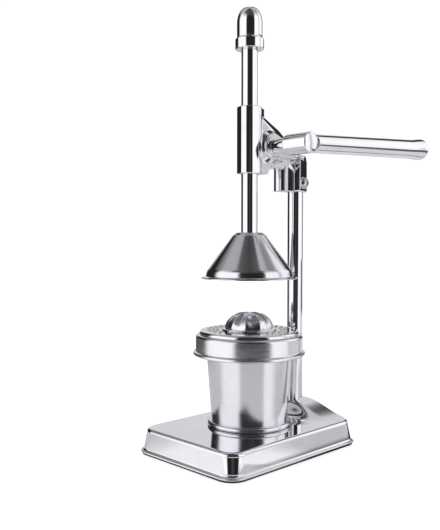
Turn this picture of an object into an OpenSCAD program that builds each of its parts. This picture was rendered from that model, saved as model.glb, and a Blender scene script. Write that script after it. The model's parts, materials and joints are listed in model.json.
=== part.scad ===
// Hand-lever citrus press: a pinion on the lever shaft drives a toothed press rod down
// onto a reamer, and the juice drains through a strainer into a cup on the base.
// Origin: on the table, straight under the press rod. +Y runs back to the column,
// +X to the lever side, +Z up.

/* [Base] */
// Width of the base top
base_w = 140; // [130:1:150]
// Length of the base top, front to back
base_l = 195; // [190:1:205]
// Height of the base top above the table
base_h = 27; // [26:0.5:30]
// Radius of the base corners, seen from above
base_corner_r = 14; // [10:1:18]
// Thickness of the pressed base shell
base_t = 2; // [1.6:0.1:2.4]
// Rise of the hump that carries the column
hump_h = 15; // [12:0.5:16]

/* [Column and rod] */
// Diameter of the column
column_d = 18; // [17:0.5:19]
// Distance from the press rod back to the column
column_y = 77.5; // [76:0.5:80]
// Diameter of the press rod
rod_d = 18; // [17.5:0.5:18.5]

/* [Head] */
// Height of the lever shaft
shaft_z = 330.6; // [325:0.2:335]
// Outer diameter of the sleeve round the press rod
sleeve_d = 27.2; // [27:0.2:29]
// Radius of the shaft boss
boss_r = 14; // [13.5:0.5:15]

/* [Gear] */
// Gear module
gear_m = 1.5; // [1.5]
// Number of pinion teeth
gear_z = 20; // [20]
// Free play on each side of a rack tooth
backlash = 0.12; // [0.1:0.01:0.16]
// Radial clearance of a shaft or rod in its bush
run_gap = 0.04; // [0.02:0.01:0.08]

/* [Lever] */
// Distance of the lever from the press axis
lever_x = 56.5; // [54:0.5:60]
// Angle of the resting lever above level
lever_tilt = 3; // [0:1:6]
// Distance from the shaft to the tip of the grip
lever_l = 235; // [220:1:250]

/* [Cup and strainer] */
// Radius of the cup at its mouth
cup_top_r = 47.2; // [46.5:0.1:47.6]
// Radius of the cup at its floor
cup_floor_r = 42; // [40:0.5:43]
// Height of the cup rim above the table
cup_top_z = 113.3; // [112:0.1:114]
// Radius of the strainer rim
strainer_r = 54.5; // [54:0.1:55]
// Number of holes in each ring of the strainer
holes = 28; // [20:2:32]
// Number of ribs on the reamer
reamer_ribs = 10; // [8:1:12]

/* [Press cone] */
// Radius of the cone rim
cone_r = 52.6; // [50:0.2:54]
// Height of the cone rim above the table, lever at rest
cone_z = 187; // [184:1:190]
// Height of the cone
cone_h = 50; // [48:1:52]

/* [Hidden] */
$fn = 96;
eps = 0.02;
rod_r = rod_d / 2;
col_r = column_d / 2;

// base
base_mid_y = 1;
side_x = base_w / 2 - base_corner_r;
side_y = base_l / 2 - base_corner_r;
edge_r = 4;
flange_z = 2;
flange_out = 5;
wall_draft = 2;
hump_x = 64;
hump_y0 = 46.5;
hump_y1 = 72;
crest_z = base_h + hump_h;
seat_z = crest_z - 0.6;
spigot_r = 6;
plate_z0 = 8;
plate_z1 = 11;
plate_gap = 1.2;
foot_r = 10;
foot_x = 58;
foot_y = 85.5;
foot_head_r = 4.2;
foot_screw_r = 2.5;
col_bolt_r = 4;
column_top_z = 318;

// head
sleeve_r = sleeve_d / 2;
sleeve_z0 = 300.5;
sleeve_z1 = 372.6;
rod_bush_r = 10.4;
lower_bush_z1 = 311;
upper_bush_z0 = 351;
barrel_r = 13;
barrel_z0 = 283.5;
barrel_z1 = 326;
rib_half = 7.5;
web_x0 = -11;
web_x1 = 9;
clamp_z = 294;
clamp_r = 3;

// gear train
pitch_r = gear_m * gear_z / 2;
rack_y = 7.8;
shaft_y = rack_y + pitch_r;
tip_r = pitch_r + gear_m;
root_r = pitch_r - 1.25 * gear_m;
base_circle_r = pitch_r * cos(20);
tooth_pitch = PI * gear_m;
gear_w = 9;
shaft_r = 6;
shaft_x1 = 48;
bush_r = 8;
pocket_r = tip_r + 0.7;
pocket_x1 = 5.2;
boss_x = 17;
cover_r = 21.6;
cover_t = 3.2;
cover_boss_r = 11.5;
cover_boss_x = -19;
cover_screw_ring = 22.6;
cover_screw_angles = [6, 112, 248];
cover_screw_r = 1.6;
cover_ear_r = 4.4;
bush_flange_r = 12.6;
clip_x = -21.4;
key_w = 4;

// lever
hub_x0 = 19;
hub_x1 = 36;
hub_x2 = 66.5;
hub_r = 11;
hub_dome = 2.5;
neck_r = 8.2;
seat_r = 8.6;
set_screw_x = 42.5;
grip_u0 = 15;
stud_r = 5;
stud_u = -6;
stud_end_u = 110;
grip_r0 = 10;
grip_r1 = 11.7;
grip_r2 = 13.2;
grip_flare_u = lever_l - 26;
grip_shoulder_u = lever_l - 8;
grip_wall = 1.6;

// press
rod_z0 = cone_z + cone_h;
cap_z0 = 433.7;
cap_z1 = 446.8;
cap_top = 479;
cap_r = 13.9;
cap_ring_r = 15.7;
cap_thread_r = 7;
cap_thread_z = 462;
cone_top_t = 3;
cone_bolt_r = 4;

// bowl stack
cup_t = 1.2;
foot_bead_r = 2.8;
foot_ring_r = 43;
collar_top_z = 126.5;
collar_r = 58.6;
collar_z0 = 105.4;
collar_t = 1.5;
strainer_z = 130.7;
strainer_t = 1.3;
reamer_r = 30;
reamer_h = 21;

// side and corners of the base as one sweep: straight runs and quarter turns of a profile
module base_sweep() {
    translate([0, base_mid_y, 0])
    for (sx = [-1, 1], sy = [-1, 1])
        translate([sx * side_x, sy * side_y, 0])
        rotate([0, 0, sx > 0 ? (sy > 0 ? 0 : -90) : (sy > 0 ? 90 : 180)])
        rotate_extrude(angle = 90) children();
    translate([0, base_mid_y, 0])
    for (s = [-1, 1]) {
        translate([s * side_x, s * side_y, 0])
        rotate([90, 0, s > 0 ? 0 : 180])
        linear_extrude(2 * side_y) children();
        translate([-s * side_x, s * side_y, 0])
        rotate([90, 0, s > 0 ? 90 : 270])
        linear_extrude(2 * side_x) children();
    }
}

module base_core(low, high) {
    translate([-side_x, base_mid_y - side_y, low])
    cube([2 * side_x, 2 * side_y, high - low]);
}

// one side of the base in section: rounded top edge, drafted wall, flat lip at the foot
module base_section(inset = 0) {
    r = base_corner_r - inset;
    top = base_h - inset;
    foot = r + wall_draft;
    low = flange_z - (inset > 0 ? 1 : 0);
    polygon([
        [0, low], [foot, low], [foot, flange_z + 3], [r, top - edge_r], [r - edge_r, top], [0, top]
    ]);
    translate([r - edge_r, top - edge_r])
    intersection() {
        circle(edge_r);
        square(edge_r);
    }
}

module base_lip() {
    translate([base_corner_r - 1, flange_z]) square([flange_out, 2]);
    translate([base_corner_r + flange_out - 1, flange_z + 1]) circle(1);
}

// height reached after a distance t along an S-shaped rise, drawn from two equal arcs
function s_radius(run, h) = (run * run / 4 + h * h / 4) / h;
function s_rise(t, run, h) =
    let (r = s_radius(run, h), back = run - t)
    t <= 0 ? 0
    : t < run / 2 ? r - sqrt(r * r - t * t)
    : t < run ? h - (r - sqrt(r * r - back * back))
    : h;

// the hump over the back of the base, thinned by inset for its hollow underside
module hump(inset = 0) {
    back = base_mid_y + base_l / 2 - 1 - inset;
    run_y = hump_y1 - hump_y0;
    low = -8;
    intersection() {
        translate([0, base_l, base_h - inset])
        rotate([90, 0, 0])
        linear_extrude(2 * base_l)
        polygon(concat(
            [[-hump_x, low]],
            [for (i = [-16 : 16])
                [i * hump_x / 16, s_rise(hump_x - abs(i) * hump_x / 16, hump_x, hump_h)]],
            [[hump_x, low]]
        ));
        translate([-base_w, hump_y0 + inset, base_h - inset])
        rotate([90, 0, 90])
        linear_extrude(2 * base_w)
        polygon(concat(
            [[0, low]],
            [for (i = [0 : 12]) [i * run_y / 12, s_rise(i * run_y / 12, run_y, hump_h)]],
            [[back - hump_y0 - inset, hump_h], [back - hump_y0 - inset, low]]
        ));
    }
}

module base_shell() {
    color("gainsboro")
    difference() {
        union() {
            base_sweep() base_section();
            base_sweep() base_lip();
            base_core(flange_z, base_h);
            hump();
        }
        base_sweep() base_section(base_t);
        base_core(flange_z - 1, base_h - base_t);
        hump(base_t);
        translate([0, column_y, 0]) cylinder(r = spigot_r + 0.1, h = 60);
        translate([0, column_y, seat_z]) cylinder(r = col_r + 0.1, h = 10);
    }
}

module at_feet() {
    for (sx = [-1, 1], sy = [-1, 1])
        translate([sx * foot_x, base_mid_y + sy * foot_y, 0]) children();
}

module base_plate() {
    plate_r = base_corner_r + wall_draft - base_t - plate_gap;
    color("darkgray")
    difference() {
        union() {
            base_sweep() translate([0, plate_z0]) square([plate_r, plate_z1 - plate_z0]);
            base_core(plate_z0, plate_z1);
        }
        at_feet() cylinder(r = foot_screw_r, h = 20);
        translate([0, column_y, 0]) cylinder(r = col_bolt_r + 0.3, h = 20);
    }
}

// moulded rubber ring under the shell's lip, with four feet that are screwed to the plate
module rubber_foot_ring() {
    up_r = base_corner_r - 0.8;
    lip_r = base_corner_r + 3.4;
    color("dimgray")
    difference() {
        union() {
            base_sweep()
            polygon([
                [up_r - 2, 0], [lip_r, 0], [lip_r, flange_z], [up_r, flange_z],
                [up_r, plate_z0], [up_r - 2, plate_z0]
            ]);
            at_feet() cylinder(r = foot_r, h = plate_z0);
        }
        at_feet() {
            translate([0, 0, -1]) cylinder(r = foot_head_r + 0.4, h = 5);
            cylinder(r = foot_screw_r + 0.1, h = plate_z1);
        }
    }
}

module foot_screws() {
    color("silver")
    at_feet() {
        translate([0, 0, 1.4]) cylinder(r = foot_head_r, h = 2.6);
        translate([0, 0, 3.9]) cylinder(r = foot_screw_r, h = plate_z1 + 1.5 - 3.9);
    }
}

// cast block that carries the column's load from the shell down to the base plate
module column_seat() {
    color("darkgray")
    translate([0, column_y, 0])
    rotate_extrude()
    polygon([
        [spigot_r + 0.1, plate_z1], [18, plate_z1], [18, 16], [12, 22], [9, 27],
        [7.2, seat_z - 4.3], [spigot_r + 0.1, seat_z - 4.3]
    ]);
}

module column() {
    color("silver")
    translate([0, column_y, 0])
    difference() {
        union() {
            translate([0, 0, seat_z]) cylinder(r = col_r, h = column_top_z - seat_z - 1);
            translate([0, 0, column_top_z - 1]) cylinder(r1 = col_r, r2 = col_r - 1, h = 1);
            translate([0, 0, plate_z1 + 1]) cylinder(r = spigot_r, h = seat_z - plate_z1);
        }
        cylinder(r = col_bolt_r, h = 34);
    }
}

module column_washer() {
    color("silver")
    translate([0, column_y, plate_z0 - 1.8])
    difference() {
        cylinder(r = 10, h = 1.8);
        translate([0, 0, -1]) cylinder(r = col_bolt_r + 0.2, h = 4);
    }
}

module column_bolt() {
    color("silver")
    translate([0, column_y, 0]) {
        translate([0, 0, 1]) cylinder(r = 7.5, h = plate_z0 - 2.8, $fn = 6);
        translate([0, 0, 6]) cylinder(r = col_bolt_r, h = 25);
    }
}

// points of an arc of radius r about c, from angle a0 to a1
function arc(c, r, a0, a1, steps = 6) = [
    for (i = [0 : steps])
        let (a = a0 + (a1 - a0) * i / steps)
        c + r * [cos(a), sin(a)]
];

// plate on the YZ plane, from x0 to x1
module plate_x(x0, x1) {
    translate([x0, 0, 0])
    rotate([90, 0, 90])
    linear_extrude(x1 - x0) children();
}

// cylinder along X from x0 to x1 on the lever shaft's line
module shaft_cyl(r, x0, x1) {
    translate([x0, shaft_y, shaft_z])
    rotate([0, 90, 0])
    cylinder(r = r, h = x1 - x0);
}

module at_cover_screws() {
    for (a = cover_screw_angles)
        translate([0, shaft_y + cover_screw_ring * cos(a), shaft_z + cover_screw_ring * sin(a)])
        rotate([0, 90, 0]) children();
}

module head_web() {
    polygon([
        [0, sleeve_z0], [21, sleeve_z0], [26, 309], [31, 312.5], [46, 317], [57, 313],
        [68, 304.5], [column_y, 304.5], [column_y, barrel_z1], [69, 328], [60, 337.5],
        [45, 347], [10.4, 362], [0, 366.5]
    ]);
}

module head_rib() {
    difference() {
        polygon([
            [18, 322], [18, 310], [26, 308.5], [43.5, 308.5], [43.5, barrel_z0],
            [column_y, barrel_z0], [column_y, 322]
        ]);
        translate([26, 291]) circle(17.5);
    }
}

module head_casting() {
    color("silver")
    difference() {
        union() {
            translate([0, 0, sleeve_z0]) cylinder(r = sleeve_r, h = sleeve_z1 - sleeve_z0 - 1.5);
            translate([0, 0, sleeve_z1 - 1.5]) cylinder(r1 = sleeve_r, r2 = sleeve_r - 1.5, h = 1.5);
            plate_x(web_x0, web_x1) head_web();
            plate_x(-rib_half, rib_half) head_rib();
            translate([0, column_y, barrel_z0]) cylinder(r = barrel_r, h = barrel_z1 - barrel_z0 - 5);
            translate([0, column_y, barrel_z1 - 5 - eps])
            rotate_extrude()
            union() {
                square([barrel_r - 5, 5]);
                intersection() {
                    translate([barrel_r - 5, 0]) circle(5);
                    square([barrel_r, 5]);
                }
            }
            shaft_cyl(boss_r, web_x1 - 1, boss_x);
            at_cover_screws() translate([0, 0, web_x0]) cylinder(r = cover_ear_r, h = 14);
        }
        translate([0, 0, sleeve_z0 - 1]) cylinder(r = rod_bush_r, h = sleeve_z1 - sleeve_z0 + 2);
        translate([0, column_y, barrel_z0 - 1]) cylinder(r = col_r, h = column_top_z - barrel_z0 + 1);
        shaft_cyl(pocket_r, -30, pocket_x1);
        shaft_cyl(cover_r + 0.3, -30, web_x0);
        shaft_cyl(bush_r, -1, boss_x + 1);
        at_cover_screws() translate([0, 0, web_x0 - 1]) cylinder(r = cover_screw_r, h = 11);
        at_cover_screws() translate([0, 0, -30]) cylinder(r = cover_ear_r + 0.3, h = 30 + web_x0);
        translate([0, column_y, clamp_z]) rotate([0, 90, 0]) cylinder(r = clamp_r, h = 40);
    }
}

module rod_bush(low, high) {
    color("ivory")
    translate([0, 0, low])
    difference() {
        cylinder(r = rod_bush_r, h = high - low);
        translate([0, 0, -1]) cylinder(r = rod_r + run_gap, h = high - low + 2);
    }
}

module lower_rod_bush() { rod_bush(sleeve_z0, lower_bush_z1); }

module upper_rod_bush() { rod_bush(upper_bush_z0, sleeve_z1 - 0.3); }

module clamp_screw() {
    head_r = 7;
    head_h = 4.6;
    dome = (head_r * head_r + head_h * head_h) / (2 * head_h);
    color("silver")
    translate([0, column_y, clamp_z])
    rotate([0, 90, 0]) {
        translate([0, 0, col_r]) cylinder(r = clamp_r, h = barrel_r - col_r + 0.5);
        difference() {
            intersection() {
                translate([0, 0, barrel_r]) cylinder(r = head_r, h = head_h);
                translate([0, 0, barrel_r + head_h - dome]) sphere(dome);
            }
            for (a = [0, 90])
                rotate([0, 0, a])
                translate([-3.6, -0.7, barrel_r + head_h - 2]) cube([7.2, 1.4, 3]);
        }
    }
}

module gear_cover() {
    cover_x0 = web_x0 - cover_t;
    color("silver")
    difference() {
        union() {
            shaft_cyl(cover_r, cover_x0, web_x0);
            at_cover_screws() translate([0, 0, cover_x0]) cylinder(r = cover_ear_r, h = cover_t);
            shaft_cyl(cover_boss_r, cover_boss_x, cover_x0 + eps);
        }
        shaft_cyl(bush_r, cover_boss_x - 1, web_x0 + 1);
        at_cover_screws() translate([0, 0, cover_x0 - 1]) cylinder(r = cover_screw_r + 0.2, h = 6);
    }
}

module cover_screws() {
    cover_x0 = web_x0 - cover_t;
    color("silver")
    at_cover_screws() {
        translate([0, 0, cover_x0 - 2.2]) cylinder(r = 3, h = 2.2);
        translate([0, 0, cover_x0 - eps]) cylinder(r = cover_screw_r, h = 11);
    }
}

module front_shaft_bush() {
    color("goldenrod")
    difference() {
        union() {
            shaft_cyl(bush_r, pocket_x1, boss_x + eps);
            shaft_cyl(bush_flange_r, boss_x, boss_x + 1.6);
        }
        shaft_cyl(shaft_r + run_gap, 0, 30);
    }
}

module rear_shaft_bush() {
    color("goldenrod")
    difference() {
        shaft_cyl(bush_r, cover_boss_x, web_x0);
        shaft_cyl(shaft_r + run_gap, -40, 0);
    }
}

module pinion_shaft() {
    color("silver")
    difference() {
        shaft_cyl(shaft_r, -23.5, shaft_x1);
        difference() {
            shaft_cyl(shaft_r + 1, clip_x, clip_x + 1.3);
            shaft_cyl(shaft_r - 0.9, clip_x - 1, clip_x + 3);
        }
        translate([-gear_w / 2, shaft_y - key_w / 2, shaft_z + shaft_r - 2])
        cube([gear_w, key_w, 4]);
    }
}

module pinion_key() {
    color("dimgray")
    translate([-gear_w / 2, shaft_y - key_w / 2, shaft_z + shaft_r - 2])
    cube([gear_w, key_w, 3.8]);
}

// a point of the tooth flank at radius r, as an angle from the tooth's middle
function inv(r) =
    let (c = acos(min(1, base_circle_r / r)))
    tan(c) * 180 / PI - c;
function half_tooth(r) = 90 / gear_z + inv(pitch_r) - inv(r);
function flank_radii() = [
    root_r, base_circle_r, base_circle_r + 0.4, pitch_r - 0.3, pitch_r + 0.3,
    pitch_r + 0.9, tip_r
];

module gear_outline() {
    radii = flank_radii();
    last = len(radii) - 1;
    polygon([
        for (t = [0 : gear_z - 1], side = [-1, 1], i = [0 : last])
            let (
                r = radii[side < 0 ? i : last - i],
                a = t * 360 / gear_z + side * half_tooth(max(r, base_circle_r))
            )
            [r * cos(a), r * sin(a)]
    ]);
}

module pinion_gear() {
    color("dimgray")
    difference() {
        translate([0, shaft_y, shaft_z])
        rotate([90, 0, 90])
        translate([0, 0, -gear_w / 2])
        linear_extrude(gear_w) gear_outline();
        shaft_cyl(shaft_r, -10, 10);
        translate([-10, shaft_y - key_w / 2, shaft_z]) cube([20, key_w, shaft_r + 2]);
    }
}

module pinion_spacer() {
    color("dimgray")
    difference() {
        shaft_cyl(8.5, web_x0 + 0.3, -gear_w / 2);
        shaft_cyl(shaft_r, -12, 0);
    }
}

module shaft_clip() {
    color("dimgray")
    difference() {
        shaft_cyl(9.2, clip_x + 0.1, clip_x + 1.2);
        shaft_cyl(shaft_r - 0.9, clip_x - 1, clip_x + 3);
        translate([clip_x - 1, shaft_y - 3.4, shaft_z - 12]) cube([4, 6.8, 12]);
    }
}

// the lever's own frame: u runs out along the lever from the shaft
module along_lever() {
    translate([lever_x, shaft_y, shaft_z])
    rotate([lever_tilt - 90, 0, 0]) children();
}

module lever_hub() {
    color("silver")
    difference() {
        union() {
            shaft_cyl(neck_r, hub_x0, hub_x1 + eps);
            translate([hub_x1, shaft_y, shaft_z])
            rotate([0, 90, 0])
            rotate_extrude()
            polygon(concat(
                [[0, 0], [hub_r - 0.8, 0], [hub_r, 0.8]],
                [for (a = [0 : 10 : 90])
                    [hub_r * cos(a), hub_x2 - hub_x1 + hub_dome * sin(a)]]
            ));
            along_lever() cylinder(r = seat_r, h = grip_u0);
        }
        shaft_cyl(shaft_r, 0, shaft_x1);
        along_lever() translate([0, 0, stud_u]) cylinder(r = stud_r, h = 40);
        translate([set_screw_x, shaft_y, shaft_z - 20]) cylinder(r = 2.5, h = 16);
    }
}

module hub_set_screw() {
    color("dimgray")
    translate([set_screw_x, shaft_y, shaft_z - hub_r + 0.4])
    difference() {
        cylinder(r = 2.5, h = hub_r - shaft_r - 0.4);
        translate([0, 0, -1]) cylinder(r = 1.3, h = 3, $fn = 6);
    }
}

module lever_stud() {
    color("silver")
    along_lever() translate([0, 0, stud_u]) cylinder(r = stud_r, h = stud_end_u - stud_u);
}

// outer radius of the tapered grip at distance u
function grip_r(u) = grip_r0 + (grip_r1 - grip_r0) * (u - grip_u0) / (grip_flare_u - grip_u0);
// the flare, then a closed end of half an ellipse, as deep as the length left over
function grip_end(inset) = concat(
    [[grip_r1 - inset, grip_flare_u]],
    [for (a = [0 : 10 : 90])
        [(grip_r2 - inset) * cos(a), grip_shoulder_u + (lever_l - grip_shoulder_u - inset) * sin(a)]]
);

module lever_grip() {
    plug_u = grip_u0 + 16;
    color("silver")
    along_lever()
    rotate_extrude()
    difference() {
        polygon(concat(
            [[stud_r + 0.02, grip_u0], [grip_r0 - 1, grip_u0], [grip_r0, grip_u0 + 1]],
            grip_end(0), [[0, lever_l - 4], [0, stud_end_u + 2], [stud_r + 0.02, stud_end_u + 2]]
        ));
        polygon(concat(
            [[0, plug_u], [grip_r(plug_u) - grip_wall, plug_u]],
            grip_end(grip_wall)
        ));
    }
}

// one gap between two rack teeth, cut from the back of the rod
module rack_gap() {
    depth = rack_y - 1.25 * gear_m;
    out = rod_r + 1;
    half_in = tooth_pitch / 4 + backlash - (rack_y - depth) * tan(20);
    half_out = tooth_pitch / 4 + backlash + (out - rack_y) * tan(20);
    plate_x(-5, 5)
    polygon([
        [depth, -half_in], [out, -half_out], [out, half_out], [depth, half_in]
    ]);
}

module rack_rod() {
    color("silver")
    difference() {
        union() {
            translate([0, 0, rod_z0]) cylinder(r = rod_r, h = cap_z1 - 1 - rod_z0);
            translate([0, 0, cap_z1 - 1 - eps])
            cylinder(r = cap_thread_r, h = cap_thread_z - cap_z1 + 1);
        }
        translate([0, 0, rod_z0 - 1]) cylinder(r = cone_bolt_r, h = 23);
        for (k = [-6 : 13])
            translate([0, 0, shaft_z + k * tooth_pitch]) rack_gap();
    }
}

// ring with a groove above it, then straight sides that close to a round nose
module rod_cap() {
    side_z = cap_top - 17;
    nose_h = cap_top - side_z;
    color("silver")
    difference() {
        rotate_extrude()
        polygon(concat(
            [
                [0, cap_z0], [cap_ring_r - 1.2, cap_z0], [cap_ring_r, cap_z0 + 1.2],
                [cap_ring_r, cap_z1 - 2.5], [cap_ring_r - 0.8, cap_z1 - 1],
                [cap_r - 0.6, cap_z1 - 0.4], [cap_r, cap_z1 + 1]
            ],
            [for (a = [0 : 6 : 90]) [cap_r * pow(cos(a), 0.82), side_z + nose_h * sin(a)]]
        ));
        translate([0, 0, cap_z0 - 1]) cylinder(r = rod_r, h = cap_z1 - cap_z0);
        translate([0, 0, cap_z0]) cylinder(r = cap_thread_r, h = cap_thread_z - cap_z0 + 0.3);
    }
}

// side of the press cone in section: flat top, straight flank, steep band, flared lip
function cone_outer() = [
    [13, rod_z0], [16, rod_z0 - 1], [18, rod_z0 - 2.8],
    [cone_r - 6.3, cone_z + 9], [cone_r - 5, cone_z + 3], [cone_r, cone_z + 1]
];

module press_cone() {
    outer = cone_outer();
    inner = [for (i = [len(outer) - 2 : -1 : 1]) outer[i] - [1.2, 1.4]];
    color("lightgray")
    rotate_extrude()
    polygon(concat(
        [[cone_bolt_r + 0.2, rod_z0]], outer, [[cone_r, cone_z]], inner,
        [[11.5, rod_z0 - cone_top_t], [cone_bolt_r + 0.2, rod_z0 - cone_top_t]]
    ));
}

module cone_washer() {
    color("silver")
    translate([0, 0, rod_z0 - 4.8])
    difference() {
        cylinder(r = 10, h = 1.8);
        translate([0, 0, -1]) cylinder(r = cone_bolt_r + 0.2, h = 4);
    }
}

module cone_bolt() {
    color("silver") {
        translate([0, 0, rod_z0 - 10.1]) cylinder(r = 7.5, h = 5.3, $fn = 6);
        translate([0, 0, rod_z0 - 5]) cylinder(r = cone_bolt_r, h = 24);
    }
}

// tapered drinking-cup wall on a rolled foot ring, with a rolled rim
module juice_cup() {
    floor_z = base_h + 4;
    rim_z = cup_top_z - 1.4;
    color("lightgray")
    rotate_extrude()
    union() {
        polygon([
            [0, floor_z], [cup_floor_r - 0.5, floor_z], [cup_floor_r, floor_z + 1],
            [cup_top_r, rim_z], [cup_top_r - cup_t, rim_z],
            [cup_floor_r - cup_t, floor_z + cup_t + 0.6], [cup_floor_r - cup_t - 1, floor_z + cup_t],
            [0, floor_z + cup_t]
        ]);
        translate([foot_ring_r, base_h + foot_bead_r]) circle(foot_bead_r);
        translate([cup_top_r, rim_z]) circle(1.4);
    }
}

// sheet collar: a spout inside the cup, a ledge on its rim, a rounded shoulder and a rolled hem
module bowl_collar() {
    lip_r = 51;
    spout_r = 43.6;
    spout_t = 1.2;
    ledge_z = cup_top_z + 0.05;
    shoulder = 4;
    corner = [collar_r - shoulder, collar_top_z - shoulder];
    color("silver")
    rotate_extrude()
    union() {
        polygon(concat(
            [
                [spout_r, ledge_z - 7], [spout_r + spout_t, ledge_z - 7],
                [spout_r + spout_t, ledge_z], [lip_r, ledge_z], [lip_r, collar_top_z - collar_t]
            ],
            arc(corner, shoulder - collar_t, 90, 0),
            [
                [collar_r - collar_t, collar_z0 + 3.2], [collar_r + 0.4, collar_z0 - 0.4],
                [collar_r + 1.8, collar_z0 + 1], [collar_r, collar_z0 + 3.2]
            ],
            arc(corner, shoulder, 0, 90),
            [
                [lip_r - collar_t, collar_top_z], [lip_r - collar_t, ledge_z + collar_t],
                [spout_r, ledge_z + collar_t]
            ]
        ));
        translate([collar_r + 1.2, collar_z0]) circle(1.6);
    }
}

// flat strainer tray with a rounded, turned-down edge and a locating skirt
module strainer() {
    skirt_r = 49;
    top = strainer_z;
    under = top - strainer_t;
    hub_hole_r = 6;
    edge = 3;
    corner = [strainer_r - edge, top - edge];
    color("lightgray")
    difference() {
        rotate_extrude()
        polygon(concat(
            [
                [hub_hole_r, top], [hub_hole_r, under], [skirt_r - strainer_t, under],
                [skirt_r - strainer_t, top - 9], [skirt_r, top - 9], [skirt_r, under]
            ],
            arc(corner, edge - strainer_t, 90, 0),
            [[strainer_r - strainer_t, collar_top_z + 0.05], [strainer_r, collar_top_z + 0.05]],
            arc(corner, edge, 0, 90)
        ));
        for (ring = [35.5, 40, 44.5], i = [0 : holes - 1])
            rotate([0, 0, (i + (ring == 40 ? 0.5 : 0)) * 360 / holes])
            translate([ring, 0, top - 3]) cylinder(r = 1.5, h = 5, $fn = 24);
    }
}

// fluted reamer: a hollow pointed dome with ribs, on a peg that drops into the strainer
module reamer() {
    color("lightgray")
    translate([0, 0, strainer_z + 0.05]) {
        difference() {
            union() {
                rotate_extrude()
                polygon([
                    [0, 0], [reamer_r, 0], [reamer_r, 1.5], [reamer_r - 3.5, 2.2], [21, 8],
                    [13, 14.5], [6, 18.6], [2.5, 20], [0, 20.4]
                ]);
                for (i = [0 : reamer_ribs - 1])
                    rotate([90, 0, i * 360 / reamer_ribs])
                    translate([0, 0, -1.3])
                    linear_extrude(2.6)
                    polygon([
                        [0, 1], [reamer_r - 1.2, 1], [reamer_r - 1.2, 3.6], [25, 8.4],
                        [16, 15.6], [8, 19.8], [2, reamer_h], [0, reamer_h]
                    ]);
            }
            translate([0, 0, -1]) cylinder(r1 = 23.5, r2 = 6, h = 13.5);
        }
        translate([0, 0, -6]) cylinder(r = 5.7, h = 20);
    }
}

base_shell();
base_plate();
rubber_foot_ring();
foot_screws();
column_seat();
column();
column_washer();
column_bolt();
head_casting();
clamp_screw();
lower_rod_bush();
upper_rod_bush();
gear_cover();
cover_screws();
front_shaft_bush();
rear_shaft_bush();
pinion_shaft();
pinion_key();
pinion_gear();
pinion_spacer();
shaft_clip();
lever_hub();
hub_set_screw();
lever_stud();
lever_grip();
rack_rod();
rod_cap();
press_cone();
cone_washer();
cone_bolt();
juice_cup();
bowl_collar();
strainer();
reamer();
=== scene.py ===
"""The looks of the citrus press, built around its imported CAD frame.

Lengths are millimetres until a mesh is made, in the CAD's own frame. The origin is on the
table under the press rod. +Y runs back to the column, which is where the grip points at rest,
and +X runs to the side with the lever's hub. Shader nodes measure in metres.
"""
import json
import math

import bpy
import numpy as np
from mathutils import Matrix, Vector


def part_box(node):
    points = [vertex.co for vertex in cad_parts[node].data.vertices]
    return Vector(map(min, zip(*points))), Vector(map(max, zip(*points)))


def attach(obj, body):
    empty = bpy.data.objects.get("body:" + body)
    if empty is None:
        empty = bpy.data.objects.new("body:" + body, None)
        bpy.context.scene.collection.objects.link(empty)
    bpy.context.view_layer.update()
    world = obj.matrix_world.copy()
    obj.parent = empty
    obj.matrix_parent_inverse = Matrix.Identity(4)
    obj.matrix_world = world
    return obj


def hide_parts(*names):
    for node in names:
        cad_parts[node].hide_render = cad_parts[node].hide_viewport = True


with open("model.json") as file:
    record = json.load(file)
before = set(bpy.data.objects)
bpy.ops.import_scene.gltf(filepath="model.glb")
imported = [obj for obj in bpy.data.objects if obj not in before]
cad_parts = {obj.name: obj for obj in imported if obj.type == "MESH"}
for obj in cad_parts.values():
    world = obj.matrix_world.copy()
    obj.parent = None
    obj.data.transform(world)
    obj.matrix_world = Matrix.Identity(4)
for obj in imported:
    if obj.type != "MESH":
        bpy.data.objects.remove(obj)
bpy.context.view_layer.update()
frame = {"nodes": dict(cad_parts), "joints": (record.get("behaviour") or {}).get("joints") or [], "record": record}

MM = 0.001
TURN = 2 * math.pi


def box_mm(node):
    """The lowest and highest corners of a CAD node, in millimetres."""
    low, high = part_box(node)
    return np.array(low) / MM, np.array(high) / MM


# ---------------------------------------------------------------- sizes read from the frame

CAP_LOW, CAP_HIGH = box_mm("rod_cap")
CONE_LOW, CONE_HIGH = box_mm("press_cone")
CUP_LOW, CUP_HIGH = box_mm("juice_cup")
COLLAR_LOW, COLLAR_HIGH = box_mm("bowl_collar")
TRAY_LOW, TRAY_HIGH = box_mm("strainer")
REAMER_LOW, REAMER_HIGH = box_mm("reamer")
BASE_LOW, BASE_HIGH = box_mm("base_shell")
HEAD_LOW, HEAD_HIGH = box_mm("head_casting")
COLUMN_LOW, COLUMN_HIGH = box_mm("column")
LEVER_JOINT = next(j for j in frame["joints"] if j["name"] == "lever_turn")
SHAFT = np.array(LEVER_JOINT["pos_m"]) / MM
COLUMN_Y = (COLUMN_LOW[1] + COLUMN_HIGH[1]) / 2
SCREW_LOW, SCREW_HIGH = box_mm("clamp_screw")
SCREW_Z = (SCREW_LOW[2] + SCREW_HIGH[2]) / 2


# ---------------------------------------------------------------- mesh helpers

def add_piece(name, verts, faces, normals, material, body, nodes, slot):
    """A mesh object made from millimetre points, which stands in for CAD nodes on a body.

    Without normals the mesh is shaded smooth.
    """
    mesh = bpy.data.meshes.new(name)
    mesh.from_pydata((np.asarray(verts) * MM).tolist(), [], [list(f) for f in faces])
    mesh.validate()
    mesh.shade_smooth()
    if normals is not None:
        mesh.normals_split_custom_set_from_vertices(np.asarray(normals).tolist())
    mesh.materials.append(material)
    piece = bpy.data.objects.new(name, mesh)
    bpy.context.scene.collection.objects.link(piece)
    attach(piece, body)
    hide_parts(*nodes)


def unit(v):
    """Vectors scaled to length one."""
    v = np.asarray(v, float)
    return v / np.maximum(np.linalg.norm(v, axis=-1, keepdims=True), 1e-12)


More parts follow.
